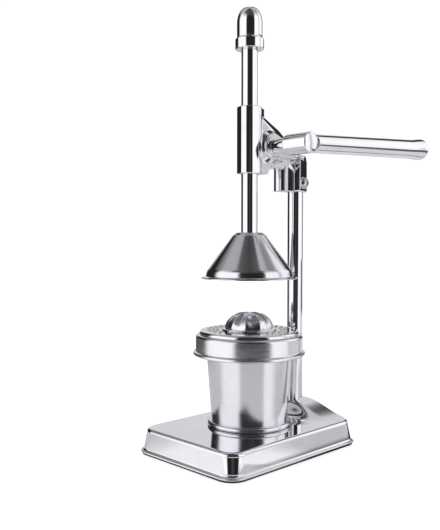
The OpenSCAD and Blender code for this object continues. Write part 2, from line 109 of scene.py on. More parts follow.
def rounded(corners, steps, closed=True):
    """Rounds the corners (a, b, radius) of an outline. Returns its points and outward normals.

    The outline runs anticlockwise in (a, b), so its outside is on the right of each run.
    """
    points, normals = [], []
    count = len(corners)
    for i, (a, b, radius) in enumerate(corners):
        here = np.array([a, b], float)
        if not closed and i in (0, count - 1):
            other = np.array(corners[1 if i == 0 else count - 2][:2], float)
            run = unit(other - here) if i == 0 else unit(here - other)
            points.append(here)
            normals.append([run[1], -run[0]])
            continue
        back = unit(np.array(corners[i - 1][:2], float) - here)
        ahead = unit(np.array(corners[(i + 1) % count][:2], float) - here)
        half = math.acos(float(np.clip(back @ ahead, -1, 1))) / 2
        n_in = np.array([-back[1], back[0]])
        n_out = np.array([ahead[1], -ahead[0]])
        if radius <= 0 or half > math.pi / 2 - 0.01:
            points.append(here)
            normals.append(unit(n_in + n_out))
            continue
        centre = here + unit(back + ahead) * radius / math.sin(half)
        turn_left = back[0] * ahead[1] - back[1] * ahead[0] < 0
        sign = 1 if turn_left else -1
        a0 = math.atan2(n_in[1] * sign, n_in[0] * sign)
        a1 = math.atan2(n_out[1] * sign, n_out[0] * sign)
        sweep = (a1 - a0 + math.pi) % TURN - math.pi
        for k in range(steps + 1):
            angle = a0 + sweep * k / steps
            ray = np.array([math.cos(angle), math.sin(angle)])
            points.append(centre + ray * radius)
            normals.append(ray * sign)
    return np.array(points), np.array(normals)


def lathe(profile, segments):
    """Turns a closed outline of (radius, height) about +Z. Points on the axis become poles."""
    points, slopes = profile
    angles = np.arange(segments) * TURN / segments
    verts, normals, rows = [], [], []
    for (radius, height), (out, up) in zip(points, slopes):
        if radius < 1e-6:
            rows.append([len(verts)])
            verts.append([0, 0, height])
            normals.append([0, 0, 1 if up > 0 else -1])
            continue
        rows.append(list(range(len(verts), len(verts) + segments)))
        for angle in angles:
            c, s = math.cos(angle), math.sin(angle)
            verts.append([radius * c, radius * s, height])
            normals.append([out * c, out * s, up])
    faces = []
    for row, following in zip(rows, rows[1:] + rows[:1]):
        if len(row) == 1 and len(following) == 1:
            continue
        for k in range(segments):
            n = (k + 1) % segments
            if len(row) == 1:
                faces.append([row[0], following[n], following[k]])
            elif len(following) == 1:
                faces.append([row[k], row[n], following[0]])
            else:
                faces.append([row[k], row[n], following[n], following[k]])
    return np.array(verts), faces, np.array(normals)


def place(shape, origin, x_axis, y_axis, z_axis):
    """Moves a shape built about +Z into a frame given by its origin and axes."""
    verts, faces, normals = shape
    turn = np.array([x_axis, y_axis, z_axis], float)
    return verts @ turn + np.asarray(origin, float), faces, normals @ turn


def join(*shapes):
    """Several shapes as one."""
    verts, faces, normals = [], [], []
    start = 0
    for v, f, n in shapes:
        verts.append(v)
        normals.append(n)
        faces += [[i + start for i in face] for face in f]
        start += len(v)
    return np.vstack(verts), faces, np.vstack(normals)


# ---------------------------------------------------------------- blended solids

def soft_min(a, b, k):
    """The smaller of two distances, blended over a width of about k."""
    h = np.clip(0.5 + 0.5 * (b - a) / k, 0, 1)
    return b + (a - b) * h - k * h * (1 - h)


def soft_max(a, b, k):
    """The larger of two distances, blended over a width of about k."""
    return -soft_min(-a, -b, k)


def rod_field(p, centre, axis, radius, low, high, edge=0.0):
    """Distance to a cylinder along one of the frame's axes, with its rims rounded by edge."""
    across = [i for i in range(3) if i != axis]
    radial = np.hypot(p[..., across[0]] - centre[across[0]], p[..., across[1]] - centre[across[1]])
    a = radial - radius + edge
    b = np.abs(p[..., axis] - (low + high) / 2) - (high - low) / 2 + edge
    outside = np.hypot(np.maximum(a, 0), np.maximum(b, 0))
    return outside + np.minimum(np.maximum(a, b), 0) - edge


def plate_field(p, outline, low, high, edge):
    """Distance to an outline in (y, z) raised along X from low to high, with rounded edges."""
    y, z = p[..., 1], p[..., 2]
    best = np.full(y.shape, np.inf)
    inside = np.zeros(y.shape, bool)
    for (y0, z0), (y1, z1) in zip(outline, outline[1:] + outline[:1]):
        run = np.array([y1 - y0, z1 - z0])
        t = np.clip(((y - y0) * run[0] + (z - z0) * run[1]) / (run @ run), 0, 1)
        best = np.minimum(best, np.hypot(y - y0 - t * run[0], z - z0 - t * run[1]))
        if z0 != z1:
            crosses = ((z0 > z) != (z1 > z)) & (y < (y1 - y0) * (z - z0) / (z1 - z0) + y0)
            inside ^= crosses
    a = np.where(inside, -best, best) + edge
    b = np.abs(p[..., 0] - (low + high) / 2) - (high - low) / 2 + edge
    outside = np.hypot(np.maximum(a, 0), np.maximum(b, 0))
    return outside + np.minimum(np.maximum(a, b), 0) - edge


def gradient(field, p, h=0.02):
    """The field's slope at points p, from differences over h on each side."""
    parts = []
    for axis in range(3):
        step = np.zeros(3)
        step[axis] = h
        parts.append(field(p + step) - field(p - step))
    return np.stack(parts, -1) / (2 * h)


def field_surface(field, low, high, step):
    """The surface where field is zero, as quads whose corners lie on it.

    One corner goes in each grid cell that the surface crosses. It slides down the field's
    slope onto the surface, and stays close to its own cell.
    """
    slides, stray = 6, 0.56 * step
    axes = [np.arange(low[i] - 2 * step, high[i] + 3 * step, step) for i in range(3)]
    grid = np.stack(np.meshgrid(*axes, indexing="ij"), -1)
    inside = field(grid) < 0
    nx, ny, nz = inside.shape
    count = np.zeros((nx - 1, ny - 1, nz - 1), int)
    for i in (0, 1):
        for j in (0, 1):
            for k in (0, 1):
                count += inside[i:nx - 1 + i, j:ny - 1 + j, k:nz - 1 + k]
    cells = (count > 0) & (count < 8)
    index = np.full(count.shape, -1)
    index[cells] = np.arange(cells.sum())
    where = np.argwhere(cells)
    middle = np.stack([axes[a][where[:, a]] for a in range(3)], -1) + step / 2
    verts = middle.copy()
    for _ in range(slides):
        g = gradient(field, verts)
        d = field(verts)
        move = g * (d / np.maximum((g * g).sum(-1), 0.05))[:, None]
        verts = np.clip(verts - move, middle - stray, middle + stray)
    faces = []
    for axis in range(3):
        du, dv = np.eye(3, dtype=int)[[(axis + 1) % 3, (axis + 2) % 3]]
        ahead = [slice(None)] * 3
        behind = [slice(None)] * 3
        ahead[axis] = slice(1, None)
        behind[axis] = slice(None, -1)
        first, second = inside[tuple(behind)], inside[tuple(ahead)]
        for rising in (True, False):
            edges = np.argwhere(first & ~second if rising else ~first & second)
            quad = [index[tuple((edges - a).T)] for a in (0 * du, du, du + dv, dv)]
            if not rising:
                quad = quad[::-1]
            faces.append(np.stack(quad, -1))
    normals = unit(gradient(field, verts))
    return verts, np.vstack(faces).tolist(), normals


# ---------------------------------------------------------------- materials

class Nodes:
    """A small wrapper that makes and links shader nodes."""

    def __init__(self, tree):
        self.tree = tree

    def add(self, kind, inputs=None, **settings):
        node = self.tree.nodes.new("ShaderNode" + kind)
        for key, value in settings.items():
            setattr(node, key, value)
        for key, value in (inputs or {}).items():
            if isinstance(value, bpy.types.NodeSocket):
                self.tree.links.new(value, node.inputs[key])
            else:
                node.inputs[key].default_value = value
        return node

    def math(self, operation, a, b=0.0):
        return self.add("Math", {0: a, 1: b}, operation=operation).outputs[0]

    def spread(self, value, low, high, out_low=0.0, out_high=1.0):
        """Maps low..high onto out_low..out_high, and holds the ends."""
        return self.add("MapRange", {
            "Value": value, "From Min": low, "From Max": high,
            "To Min": out_low, "To Max": out_high,
        }).outputs["Result"]

    def mix(self, factor, first, second):
        """first where factor is 0 and second where it is 1."""
        inputs = {"Fac": factor, "Color1": first, "Color2": second}
        return self.add("MixRGB", inputs).outputs[0]


def grain_vector(n, position, grain):
    """Stretches the position along the way a surface was brushed or polished.

    grain is None, an axis name for straight grain, or "turned" for grain round the Z axis.
    """
    turned_stretch, straight_stretch = 0.0009, 0.02
    if grain is None:
        return position
    split = n.add("SeparateXYZ", {0: position})
    x, y, z = split.outputs
    if grain == "turned":
        around = n.math("ARCTAN2", y, x)
        radius = n.math("SQRT", n.math("ADD", n.math("MULTIPLY", x, x), n.math("MULTIPLY", y, y)))
        along = n.math("MULTIPLY", around, turned_stretch)
        return n.add("CombineXYZ", {0: radius, 1: along, 2: z}).outputs[0]
    scale = [straight_stretch if axis == grain else 1.0 for axis in "XYZ"]
    parts = [n.math("MULTIPLY", value, factor) for value, factor in zip((x, y, z), scale)]
    return n.add("CombineXYZ", {0: parts[0], 1: parts[1], 2: parts[2]}).outputs[0]


def surface(name, colour, metallic, roughness, grain_scale, grain=None, grain_bump=0.1,
            bump_mm=0.01):
    """A metal, rubber or plastic with its own grain, smudges and fine unevenness."""
    smudge = 0.03
    material = bpy.data.materials.new(name)
    material.use_nodes = True
    n = Nodes(material.node_tree)
    shader = material.node_tree.nodes["Principled BSDF"]
    position = n.add("TexCoord").outputs["Object"]
    fine = n.add("TexNoise", {
        "Vector": grain_vector(n, position, grain), "Scale": grain_scale,
        "Detail": 3.0, "Roughness": 0.6,
    }).outputs["Fac"]
    broad = n.add("TexNoise", {"Vector": position, "Scale": 38.0, "Detail": 4.0, "Roughness": 0.55})
    broad = broad.outputs["Fac"]
    low, high = roughness
    rough_fine = n.spread(fine, 0.3, 0.7, low, high)
    rough_broad = n.spread(broad, 0.35, 0.7, -smudge, smudge)
    rough = n.math("MAXIMUM", n.math("ADD", rough_fine, rough_broad), 0.015)
    tint = n.mix(n.spread(n.math("MULTIPLY", fine, broad), 0.12, 0.4),
                 (*[c * 0.9 for c in colour], 1.0), (*colour, 1.0))
    bump = n.add("Bump", {"Height": fine, "Strength": grain_bump, "Distance": bump_mm * MM})
    links = material.node_tree.links
    links.new(tint, shader.inputs["Base Color"])
    links.new(rough, shader.inputs["Roughness"])
    links.new(bump.outputs[0], shader.inputs["Normal"])
    shader.inputs["Metallic"].default_value = metallic
    return material


POLISHED = surface("polished_steel", (0.86, 0.86, 0.885), 1.0, (0.03, 0.07), 900, grain="Z")
POLISHED_TURNED = surface("polished_turned", (0.85, 0.85, 0.875), 1.0, (0.035, 0.09), 1800,
                          grain="turned", grain_bump=0.12)
SPUN = surface("spun_steel", (0.78, 0.78, 0.81), 1.0, (0.09, 0.17), 2200,
               grain="turned", grain_bump=0.3, bump_mm=0.02)
BRUSHED = surface("brushed_steel", (0.82, 0.82, 0.85), 1.0, (0.15, 0.26), 1900,
                  grain="turned", grain_bump=0.3, bump_mm=0.02)
PLATED = surface("plated_casting", (0.85, 0.85, 0.875), 1.0, (0.03, 0.08), 420,
                 grain_bump=0.12, bump_mm=0.02)
BASE_TOP = surface("polished_sheet", (0.85, 0.85, 0.875), 1.0, (0.025, 0.06), 700,
                   grain="Y", grain_bump=0.06)
HARDWARE = surface("steel_hardware", (0.62, 0.62, 0.63), 1.0, (0.16, 0.3), 900, grain_bump=0.2)
ZINC = surface("zinc_sheet", (0.56, 0.57, 0.6), 1.0, (0.3, 0.5), 300,
               grain_bump=0.3, bump_mm=0.05)
CAST = surface("rough_cast", (0.5, 0.5, 0.51), 1.0, (0.4, 0.6), 700,
               grain_bump=0.7, bump_mm=0.15)
DARK_STEEL = surface("dark_steel", (0.12, 0.12, 0.13), 1.0, (0.25, 0.4), 700, grain_bump=0.3)
BRONZE = surface("sintered_bronze", (0.55, 0.38, 0.2), 1.0, (0.3, 0.45), 1600,
                 grain_bump=0.5, bump_mm=0.03)
NYLON = surface("natural_nylon", (0.78, 0.76, 0.7), 0.0, (0.4, 0.5), 900, grain_bump=0.2)
RUBBER = surface("black_rubber", (0.02, 0.02, 0.021), 0.0, (0.6, 0.75), 1400,
                 grain_bump=0.5, bump_mm=0.05)

SLOT_LOOKS = {
    "polished_steel": POLISHED, "plated_casting": PLATED, "brushed_steel": BRUSHED,
    "steel_hardware": HARDWARE, "zinc_steel": ZINC, "cast_alloy": CAST, "dark_steel": DARK_STEEL,
    "bronze": BRONZE, "nylon": NYLON, "rubber": RUBBER,
}
for part in frame["record"]["subparts"]:
    mesh = frame["nodes"][part["node"]].data
    mesh.materials.clear()
    mesh.materials.append(SLOT_LOOKS[part["material_slot"]])


# ---------------------------------------------------------------- base shell

def outline_loop(half_x, half_y, centre_y, radius, arc_steps, x_steps, y_steps):
    """A rounded rectangle as points and outward normals, from the middle of one corner round."""
    def steps(a, b, count):
        return [a + (b - a) * i / count for i in range(count)]

    cx, cy = half_x - radius, half_y - radius
    corners = [(-cx, -cy, 180), (cx, -cy, 270), (cx, cy, 0), (-cx, cy, 90)]
    points, normals = [], []
    for i, (x, y, start) in enumerate(corners):
        nx, ny, _ = corners[(i + 1) % 4]
        for angle in steps(start + 45, start + 90, arc_steps):
            ray = np.array([math.cos(math.radians(angle)), math.sin(math.radians(angle))])
            points.append(np.array([x, y]) + ray * radius)
            normals.append(ray)
        side = np.array([math.cos(math.radians(start + 90)), math.sin(math.radians(start + 90))])
        run_count = x_steps if i % 2 == 0 else y_steps
        for t in steps(0, 1, run_count):
            points.append(np.array([x + (nx - x) * t, y + (ny - y) * t]) + side * radius)
            normals.append(side)
        for angle in steps(start + 90, start + 135, arc_steps):
            ray = np.array([math.cos(math.radians(angle)), math.sin(math.radians(angle))])
            points.append(np.array([nx, ny]) + ray * radius)
            normals.append(ray)
    return np.array(points) + np.array([0, centre_y]), np.array(normals)


def base_shell_shape():
    """Pressed sheet: a rolled lip, drafted walls, a rounded top edge and a humped back."""
    top_z = 27.0
    crest = BASE_HIGH[2] - top_z
    half_x, half_y = 70.0, 97.5
    centre_y = (BASE_LOW[1] + BASE_HIGH[1]) / 2
    top_radius, foot_radius, edge, sheet = 18.0, 14.0, 4.0, 2.0
    hump_x, hump_y0, hump_y1 = 66.0, 46.5, 73.0
    arc_steps, x_steps, y_steps = 9, 62, 84
    rim, out = outline_loop(half_x, half_y, centre_y, top_radius, arc_steps, x_steps, y_steps)
    foot_rim, _ = outline_loop(half_x, half_y, centre_y, foot_radius, arc_steps, x_steps, y_steps)
    loop = len(rim)
    side_counts = [2 * arc_steps + x_steps, 2 * arc_steps + y_steps] * 2

    def height(xy):
        across = 0.5 * (1 + np.cos(np.pi * np.clip(np.abs(xy[..., 0]) / hump_x, 0, 1)))
        t = np.clip((xy[..., 1] - hump_y0) / (hump_y1 - hump_y0), 0, 1)
        return top_z + crest * across * (0.5 - 0.5 * np.cos(np.pi * t))

    def top_normal(xy):
        h = 0.05
        dx = (height(xy + [h, 0]) - height(xy - [h, 0])) / (2 * h)
        dy = (height(xy + [0, h]) - height(xy - [0, h])) / (2 * h)
        return unit(np.stack([-dx, -dy, np.ones_like(dx)], -1))

    def patch(boundary):
        """A four-sided grid that fills a closed boundary, by transfinite interpolation."""
        nx, ny = side_counts[0], side_counts[1]
        south = boundary[:nx + 1]
        east = boundary[nx:nx + ny + 1]
        north = boundary[nx + ny:2 * nx + ny + 1][::-1]
        west = np.vstack([boundary[2 * nx + ny:], boundary[:1]])[::-1]
        u = np.linspace(0, 1, nx + 1)[:, None, None]
        v = np.linspace(0, 1, ny + 1)[None, :, None]
        grid = (1 - v) * south[:, None] + v * north[:, None] + (1 - u) * west[None] + u * east[None]
        grid -= (1 - u) * (1 - v) * south[0] + u * (1 - v) * south[-1]
        grid -= (1 - u) * v * north[0] + u * v * north[-1]
        return grid

    verts, normals, faces = [], [], []

    def add_grid(inset, up):
        """The top face as a grid, inset below the surface. Returns its border as a loop."""
        xy = patch(rim - out * edge)
        z = height(xy) - inset
        n = top_normal(xy) * (1 if up else -1)
        start = sum(len(v) for v in verts)
        nx, ny = side_counts[0] + 1, side_counts[1] + 1
        verts.append(np.concatenate([xy, z[..., None]], -1).reshape(-1, 3))
        normals.append(n.reshape(-1, 3))
        for i in range(nx - 1):
            for j in range(ny - 1):
                a = start + i * ny + j
                quad = [a, a + ny, a + ny + 1, a + 1]
                faces.append(quad if up else quad[::-1])
        border = [start + i * ny for i in range(nx - 1)]
        border += [start + (nx - 1) * ny + j for j in range(ny - 1)]
        border += [start + i * ny + ny - 1 for i in range(nx - 1, 0, -1)]
        border += [start + j for j in range(ny - 1, 0, -1)]
        return border

    flat = np.concatenate([out, np.zeros((loop, 1))], -1)
    up = np.tile([0.0, 0.0, 1.0], (loop, 1))
    rings = []

    def ring(offset, z, normal, drop=1.0):
        """A loop of points at an offset from the outline, drop of the way to the foot's."""
        start = sum(len(v) for v in verts)
        verts.append(np.column_stack([
            rim * (1 - drop) + foot_rim * drop + out * offset, z * np.ones(loop)]))
        normals.append(unit(normal))
        rings.append(list(range(start, start + loop)))

    rings.append(add_grid(0.0, True))
    crown = height(rim - out * edge)
    crown_normal = top_normal(rim - out * edge)
    for k in range(1, 9):
        a = math.radians(90 - 90 * k / 8)
        z = crown - edge + edge * math.sin(a)
        ring(-edge + edge * math.cos(a), z, math.cos(a) * flat + math.sin(a) * crown_normal, 0.0)
    foot_z, foot_out, bend, under_bend, lip_bottom = 7.0, 1.6, 2.6, 0.4, 2.0
    spread = ((foot_rim - rim) * out).sum(-1) + foot_out
    draft = (spread / (crown - edge - foot_z))[:, None] * up
    for t in (0.03, 0.5, 0.97):
        z = (crown - edge) * (1 - t) + foot_z * t
        ring(foot_out * t, z, flat + draft, t)
    lip_out = BASE_HIGH[0] - half_x
    for k in range(7):
        a = math.radians(90 * k / 6)
        offset = foot_out + bend - bend * math.cos(a)
        ring(offset, foot_z - under_bend - bend * math.sin(a),
             math.cos(a) * flat + (math.sin(a) + 0.06) * up)
    lip_top = foot_z - under_bend - bend
    lip_r = (lip_top - lip_bottom) / 2
    for k in range(9):
        a = math.radians(90 - 180 * k / 8)
        ring(lip_out - lip_r + lip_r * math.cos(a), lip_top - lip_r + lip_r * math.sin(a),
             math.cos(a) * flat + math.sin(a) * up)
    ring(foot_out - sheet + 0.6, lip_bottom, -up)
    ring(foot_out - sheet, lip_bottom + 0.6, -flat)
    ring(foot_out - sheet, foot_z, -flat)
    ring(-sheet, crown - edge, -flat, 0.0)
    for k in range(1, 5):
        a = math.radians(90 * k / 4)
        inner = edge - sheet
        ring(-edge + inner * math.cos(a), crown - edge + inner * math.sin(a),
             -math.cos(a) * flat - math.sin(a) * crown_normal, 0.0)
    rings.append(add_grid(sheet, False))
    for row, following in zip(rings, rings[1:]):
        for k in range(loop):
            n = (k + 1) % loop
            faces.append([row[k], following[k], following[n], row[n]])
    return np.vstack(verts), faces, np.vstack(normals)


add_piece("base_cover", *base_shell_shape(), BASE_TOP, "frame", ["base_shell"], "polished_steel")


# ---------------------------------------------------------------- head casting

WEB_LOW, WEB_HIGH = HEAD_LOW[0] + 2.6, 9.0
WEB_OUTLINE = [
    (0, 300.5), (21, 300.5), (27, 310), (34, 314.5), (46, 317), (57, 313), (68, 304.5),
    (77.5, 304.5), (77.5, 326), (69, 328), (60, 339), (46, 351.5), (10.4, 366), (0, 370),
]
SLEEVE_R, CLAMP_R, BOSS_R = 13.6, 13.0, 14.0


def head_web(p):
    """The web's plate, bevelled along its top edge, and a strip up the sleeve's side."""
    x, y, z = p[..., 0], p[..., 1], p[..., 2]
    web = plate_field(p, WEB_OUTLINE, WEB_LOW, WEB_HIGH, 2.4)
    bevel = 0.837 * (x - WEB_HIGH) + 0.282 * (y - 8) + 0.469 * (z - 362)
    web = soft_max(web, bevel, 0.5)
    strip = plate_field(p, [(0, 362), (15, 362), (15, 371), (0, 371)], -6, 13, 0.6)
    strip = soft_max(strip, 0.916 * x + 0.4 * y - 13.4, 0.4)
    return soft_min(web, strip, 1.5)


def head_rib(p):
    """The rib between the web and the clamp, with a rounded ridge in front and an arch."""
    x, y, z = p[..., 0], p[..., 1], p[..., 2]
    low, half = 283.5, 7.5
    arch_y, arch_z, arch_r = 26, 291, 17.5
    rib = plate_field(p, [
        (18, 322), (18, 310), (26, 308.5), (50, 308.5), (50, low), (COLUMN_Y, low),
        (COLUMN_Y, 322),
    ], -half, half, 1.2)
    ridge = rod_field(p, (0, 55.6, 0), 2, 10.5, HEAD_LOW[2], 312.0, 1.2)
    ridge = soft_max(ridge, 0.695 * x + 0.719 * y - 41.5, 0.5)
    rib = soft_min(rib, ridge, 0.4)
    arch = np.hypot(y - arch_y, z - arch_z) - arch_r
    return soft_max(rib, -arch, 1.0)


def head_sleeve(p):
    """The press rod's sleeve, with a long flat on its front and another on its side."""
    x, y = p[..., 0], p[..., 1]
    sleeve = rod_field(p, (0, 0, 0), 2, SLEEVE_R, HEAD_LOW[2] + 17, HEAD_HIGH[2], 0.9)
    sleeve = soft_max(sleeve, 0.963 * x - 0.271 * y - 13.1, 0.5)
    return soft_max(sleeve, -0.315 * x - 0.949 * y - 12.7, 0.6)


def head_clamp(p):
    """The barrel round the column and the cheek before it, both cut by one upright face."""
    x, y, z = p[..., 0], p[..., 1], p[..., 2]
    cheek_half, cheek_middle = 12, 302
    side = 0.927 * x + 0.375 * (y - COLUMN_Y) - 11.5
    barrel = rod_field(p, (0, COLUMN_Y, 0), 2, CLAMP_R, HEAD_LOW[2], 326.0, 4.5)
    barrel = soft_max(barrel, side, 1.0)
    cheek = soft_max(side, np.abs(y - COLUMN_Y) - cheek_half, 1.2)
    cheek = soft_max(cheek, np.abs(z - cheek_middle) - (cheek_middle - HEAD_LOW[2]), 2.0)
    return np.minimum(barrel, np.maximum(cheek, -x))


def head_boss(p):
    """The shaft's boss on a conical flank, which stays inside the web's outline."""
    x, y, z = p[..., 0], p[..., 1], p[..., 2]
    boss = rod_field(p, SHAFT, 0, BOSS_R, 4.0, HEAD_HIGH[0], 1.0)
    from_shaft = np.hypot(y - SHAFT[1], z - SHAFT[2])
    flank = 0.79 * (from_shaft - 13) + 0.61 * (x - HEAD_HIGH[0] + 0.6)
    within = plate_field(p, WEB_OUTLINE, WEB_LOW, HEAD_HIGH[0] - 1, 1.0)
    return soft_min(boss, soft_max(flank, within, 1.0), 0.6)


def head_cuts(p):
    """The rod's and column's bores, the pinion's pocket and seats, and the screw's seat."""
    rod_bore = rod_field(p, (0, 0, 0), 2, 10.4, 280, 400)
    column_bore = rod_field(p, (0, COLUMN_Y, 0), 2, 9.0, 260, 318)
    pocket = rod_field(p, SHAFT, 0, 17.2, -40, 5.2)
    cover_seat = rod_field(p, SHAFT, 0, 21.9, -40, -11)
    bush_bore = rod_field(p, SHAFT, 0, 8.0, 0, 30)
    screw_seat = rod_field(p, (0, COLUMN_Y, SCREW_Z), 0, 5.2, CLAMP_R, 40)
    return rod_bore, column_bore, pocket, cover_seat, bush_bore, screw_seat


def head_field(p):
    """Sleeve, web, rib, column clamp and shaft boss, blended like a casting, less its bores.

    The flat faces are planes, each set by its normal and its distance from the origin.
    """
    cover_screws_out, cover_screw_angles, pad_r = 22.6, (6, 112, 248), 4.4
    body = soft_min(head_web(p), head_boss(p), 1.2)
    body = soft_min(body, head_rib(p), 2.0)
    body = soft_min(body, head_clamp(p), 2.0)
    body = soft_min(body, head_sleeve(p), 1.0)
    for angle in cover_screw_angles:
        a = math.radians(angle)
        centre = (0, SHAFT[1] + cover_screws_out * math.cos(a),
                  SHAFT[2] + cover_screws_out * math.sin(a))
        body = soft_min(body, rod_field(p, centre, 0, pad_r, -11, 3, 0.5), 1.5)
    for cut in head_cuts(p):
        body = soft_max(body, -cut, 0.7)
    return body


head = field_surface(head_field, HEAD_LOW, HEAD_HIGH, 0.85)
add_piece("head_body", *head, PLATED, "frame", ["head_casting"], "plated_casting")


# ---------------------------------------------------------------- lever

TILT = math.radians(3)
LEVER_ALONG = np.array([0, math.cos(TILT), math.sin(TILT)])
LEVER_UP = np.array([0, -math.sin(TILT), math.cos(TILT)])
HUB_LOW, HUB_HIGH = box_mm("lever_hub")
LEVER_AT = np.array([HUB_HIGH[0] - 12.5, SHAFT[1], SHAFT[2]])
LEVER_LENGTH = 235.0
GRIP_START = 15.0


def along_lever(shape):
    """Moves a shape turned about +Z onto the lever, with Z running out to the grip."""
    return place(shape, LEVER_AT, (1, 0, 0), -LEVER_UP, LEVER_ALONG)


def hub_field(p):
    """A neck and a thick domed drum on the shaft's line, with a seat for the grip's tube."""
    local = p - LEVER_AT
    along = local @ LEVER_ALONG
    radial = np.hypot(local[..., 0], local @ LEVER_UP)
    from_axis = np.hypot(p[..., 1] - SHAFT[1], p[..., 2] - SHAFT[2])
    radius, dome, neck_r, seat_r, stud_r, shaft_r = 11.4, 1.4, 8.2, 8.6, 5.0, 6.0
    dome_r = (radius ** 2 + dome ** 2) / (2 * dome)
    dome_at = SHAFT + [HUB_HIGH[0] - dome_r - SHAFT[0], 0, 0]
    neck = rod_field(p, SHAFT, 0, neck_r, HUB_LOW[0], 40, 0.5)
    drum = rod_field(p, SHAFT, 0, radius, 36, HUB_HIGH[0] + 9, 1.0)
    drum = soft_max(drum, np.linalg.norm(p - dome_at, axis=-1) - dome_r, 0.5)
    end_cone = 0.88 * (p[..., 0] - HUB_HIGH[0]) + 0.475 * (from_axis - 7.6)
    drum = soft_max(drum, end_cone, 0.4)
    seat = np.maximum(radial - seat_r, np.abs(along - GRIP_START / 2) - GRIP_START / 2)
    body = soft_min(soft_min(neck, drum, 0.8), seat, 1.0)
    stud_bore = np.maximum(radial - stud_r, -6 - along)
    shaft_bore = rod_field(p, SHAFT, 0, shaft_r, 0, 48)
    return soft_max(body, -np.minimum(stud_bore, shaft_bore), 0.4)


hub = field_surface(hub_field, HUB_LOW, HUB_HIGH, 0.6)
add_piece("lever_socket", *hub, PLATED, "lever", ["lever_hub"], "plated_casting")


def grip_profile():
    """A tube that widens slowly, flares near its end and closes in a low dome."""
    stud_r, start_r, waist_r, end_r, wall = 5.1, 10.0, 11.7, 13.2, 1.6
    flare, shoulder, plug = LEVER_LENGTH - 26, LEVER_LENGTH - 8, GRIP_START + 16
    return rounded([
        (stud_r, GRIP_START, 0.3), (start_r, GRIP_START, 0.9), (waist_r, flare, 200),
        (end_r, shoulder, 50), (end_r, LEVER_LENGTH - 1.5, 4.0), (0, LEVER_LENGTH, 0),
        (0, LEVER_LENGTH - 3, 0), (end_r - wall, LEVER_LENGTH - 3.6, 2.5),
        (end_r - wall, shoulder, 30), (waist_r - wall, flare, 150), (start_r - wall, plug, 0.5),
        (stud_r, plug, 0.3),
    ], 8)


add_piece("grip_tube", *along_lever(lathe(grip_profile(), 128)), POLISHED, "lever", ["lever_grip"],
          "polished_steel")


# ---------------------------------------------------------------- press rod's cap and cone

def cap_profile():
    """A flanged collar, a groove and a bullet nose, bored for the rod's threaded end."""
    low, top = CAP_LOW[2], CAP_HIGH[2]
    collar_r, nose_r, nose_tall, bore_r, bore_deep = 15.7, 13.9, 17, 9.1, 11
    nose = [(nose_r * math.cos(a) ** 0.66, top - nose_tall + nose_tall * math.sin(a) ** 1.1)
            for a in np.linspace(0, math.pi / 2, 25)[:-1]]
    lower, lower_n = rounded([
        (bore_r, low + bore_deep, 0), (bore_r, low, 0.6), (collar_r, low, 1.4),
        (collar_r, low + 10.6, 1.2), (14.9, low + 11.9, 0.5), (13.2, low + 12.4, 0.6),
        (nose_r, low + 14.2, 0.8), (nose_r, top - nose_tall, 0),
    ], 6, closed=False)
    points = np.array([*lower[:-1], *nose, (0.0, top), (0.0, low + bore_deep)])
    normals = [*lower_n[:-1]]
    for i in range(len(nose)):
        before = np.array(nose[i - 1]) if i else np.array([nose_r, top - nose_tall - 2])
        after = np.array(nose[i + 1]) if i + 1 < len(nose) else np.array([0.0, top])
        run = after - before
        normals.append(unit([run[1], -run[0]]))
    normals += [np.array([0.0, 1.0]), np.array([0.0, -1.0])]
    return points, np.array(normals)


add_piece("bullet_cap", *lathe(cap_profile(), 128), POLISHED_TURNED, "press", ["rod_cap"],
          "polished_steel")


def cone_profile():
    """A spun bell: flat crown, straight flank, a waist, then a flared lip with a rolled edge."""
    rim, top = CONE_LOW[2], CONE_HIGH[2]
    reach = CONE_HIGH[0]
    return rounded([
        (4.3, top - 3.0, 0.2), (12.0, top - 3.0, 1.5), (16.6, top - 4.6, 2.0),
        (reach - 7.7, rim + 8.4, 9.0), (reach - 5.9, rim + 1.2, 1.0), (reach - 3.0, rim, 0.8),
        (reach, rim, 0.5), (reach, rim + 1.2, 0.5), (reach - 4.6, rim + 2.2, 1.5),
        (reach - 6.3, rim + 9.0, 11.0), (18.2, top - 3.2, 4.0), (14.4, top, 2.6), (4.3, top, 0.3),
    ], 7)


add_piece("cone_bell", *lathe(cone_profile(), 192), SPUN, "press", ["press_cone"], "polished_steel")


# ---------------------------------------------------------------- cup, collar, strainer

def cup_shape():
    """A tapered cup with a rolled rim, standing on a rolled foot ring."""
    floor, sheet = 31.0, 1.2
    rim = CUP_HIGH[2]
    foot_low, foot_high = CUP_LOW[2], CUP_LOW[2] + 5.6
    wall = lathe(rounded([
        (0, floor, 0), (41.2, floor, 2.2), (47.0, rim - 2.2, 0.3), (48.1, rim - 1.9, 0.7),
        (48.1, rim, 0.7), (45.9, rim, 0.8), (45.9, rim - 2.0, 0.2), (40.2, floor + sheet, 2.0),
        (0, floor + sheet, 0),
    ], 6), 192)
    foot = lathe(rounded([
        (40.4, foot_low, 1.2), (45.8, foot_low, 2.6), (45.8, foot_high, 2.6),
        (40.4, foot_high, 1.0),
    ], 9), 192)
    return join(wall, foot)


add_piece("cup_body", *cup_shape(), BRUSHED, "cup", ["juice_cup"], "brushed_steel")


